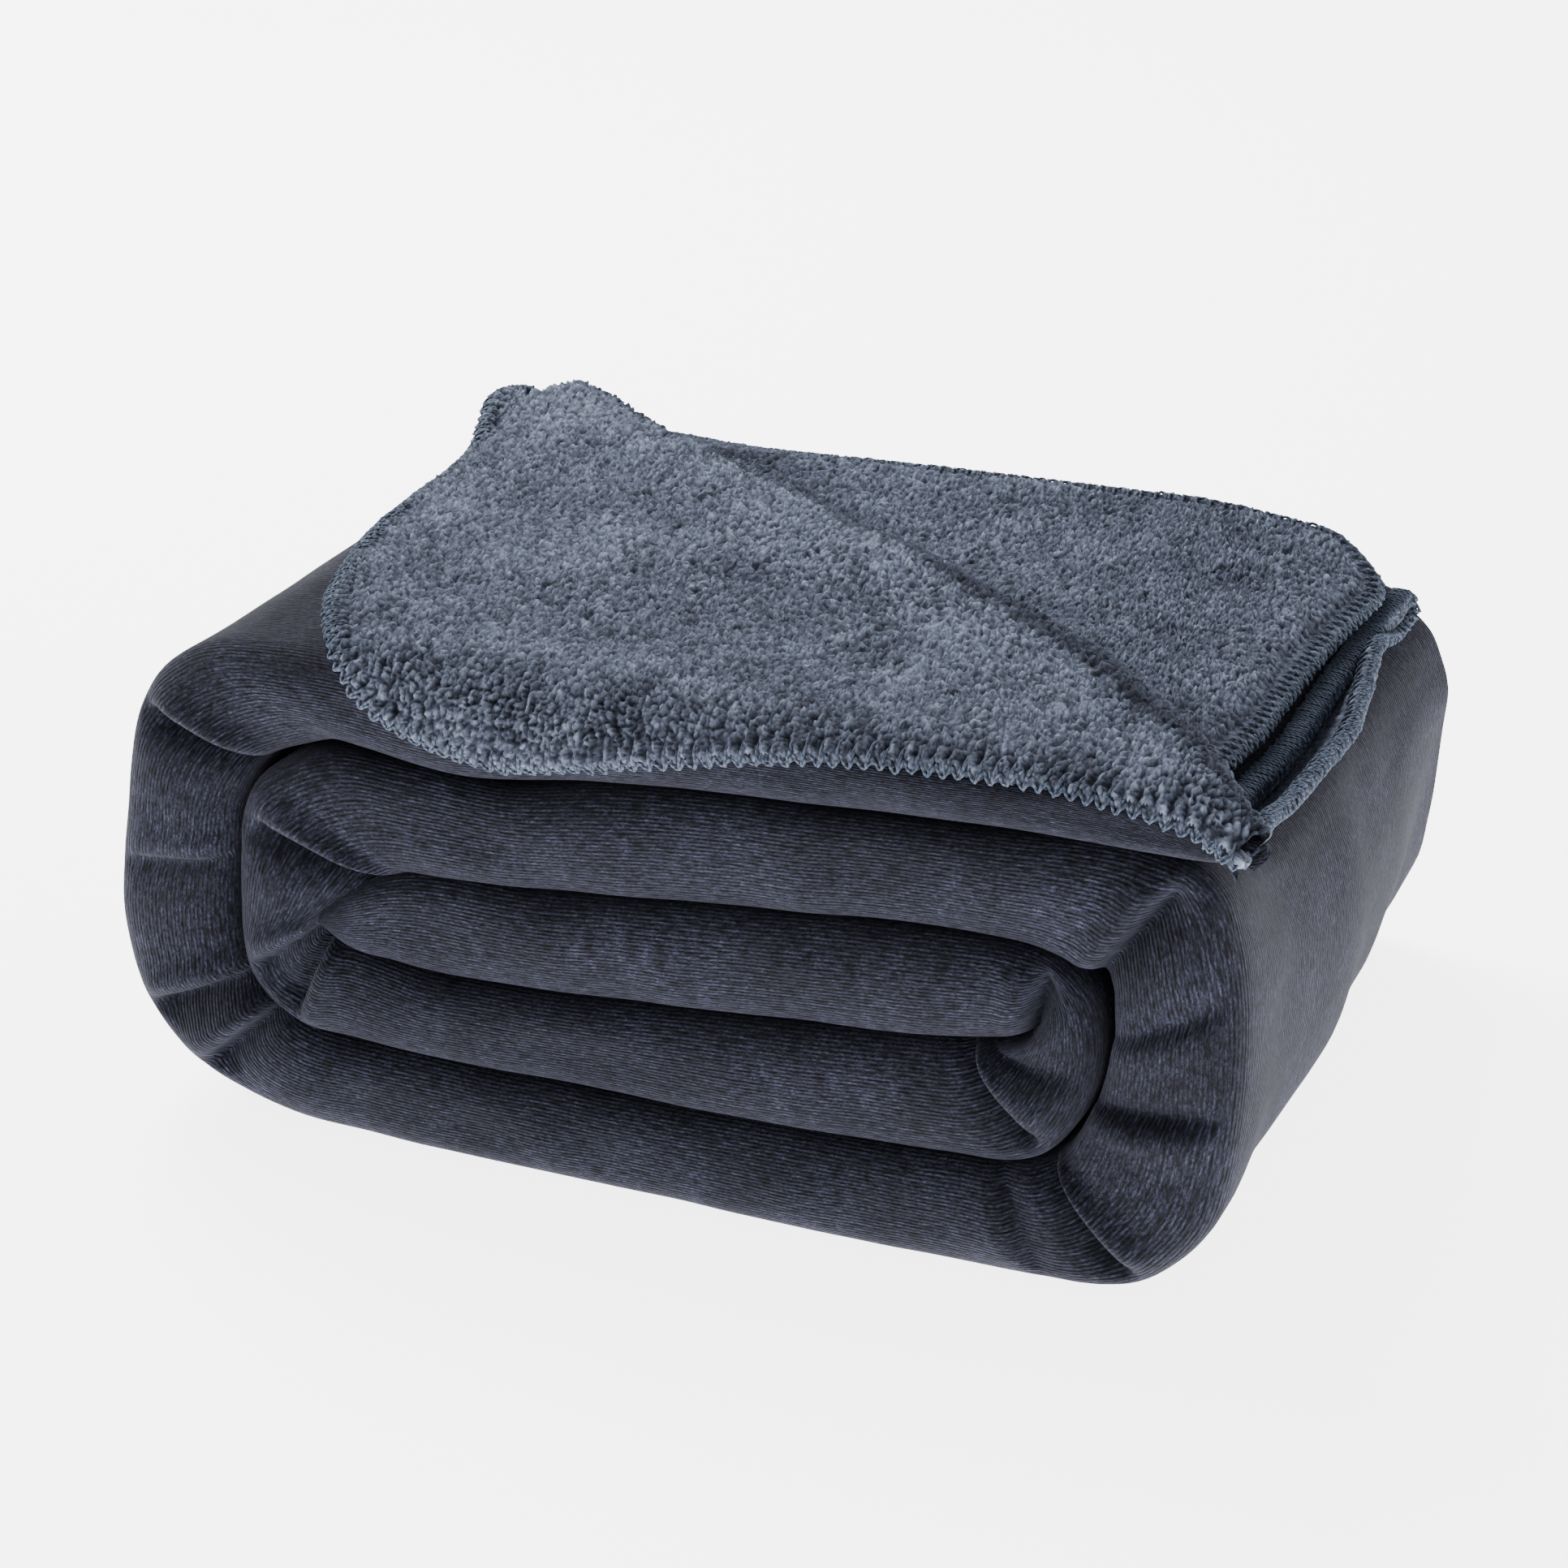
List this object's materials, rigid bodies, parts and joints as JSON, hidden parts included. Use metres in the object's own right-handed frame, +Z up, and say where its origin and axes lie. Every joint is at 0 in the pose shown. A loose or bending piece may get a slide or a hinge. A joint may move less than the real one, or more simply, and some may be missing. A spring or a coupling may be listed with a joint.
{
  "type": "folded throw blanket",
  "caption": "Throw blanket folded in quarters and rolled flat, with one corner turned back over the diagonal to show its pile.",
  "frame": {"origin": "middle of the base that the folded blanket rests on", "axes": "+Z up, +X along the layers of the roll towards its outer end, +Y from the closed fold towards the hems"},
  "size_m": [0.464, 0.35, 0.2145],
  "materials": {
    "ribbed_flannel": "matte",
    "sherpa_pile": "matte",
    "edge_yarn": "matte"
  },
  "bodies": {
    "roll": {"face_cloth": "ribbed_flannel", "backing_cloth": "sherpa_pile", "side_hem_yarn_top_ply": "edge_yarn", "side_hem_yarn_second_ply": "edge_yarn", "outer_end_hem_yarn": "edge_yarn", "inner_end_hem_yarn": "edge_yarn"},
    "turned_corner": {"corner_face_cloth": "ribbed_flannel", "corner_backing_cloth": "sherpa_pile", "corner_hem_yarn": "edge_yarn"}
  },
  "joints": [
    {"name": "corner_fold", "type": "hinge", "parent": "roll", "child": "turned_corner", "pos_m": [0.233, -0.166, 0.2045], "axis": [-0.7809, 0.6247, 0], "range_deg": [0, 175]}
  ]
}
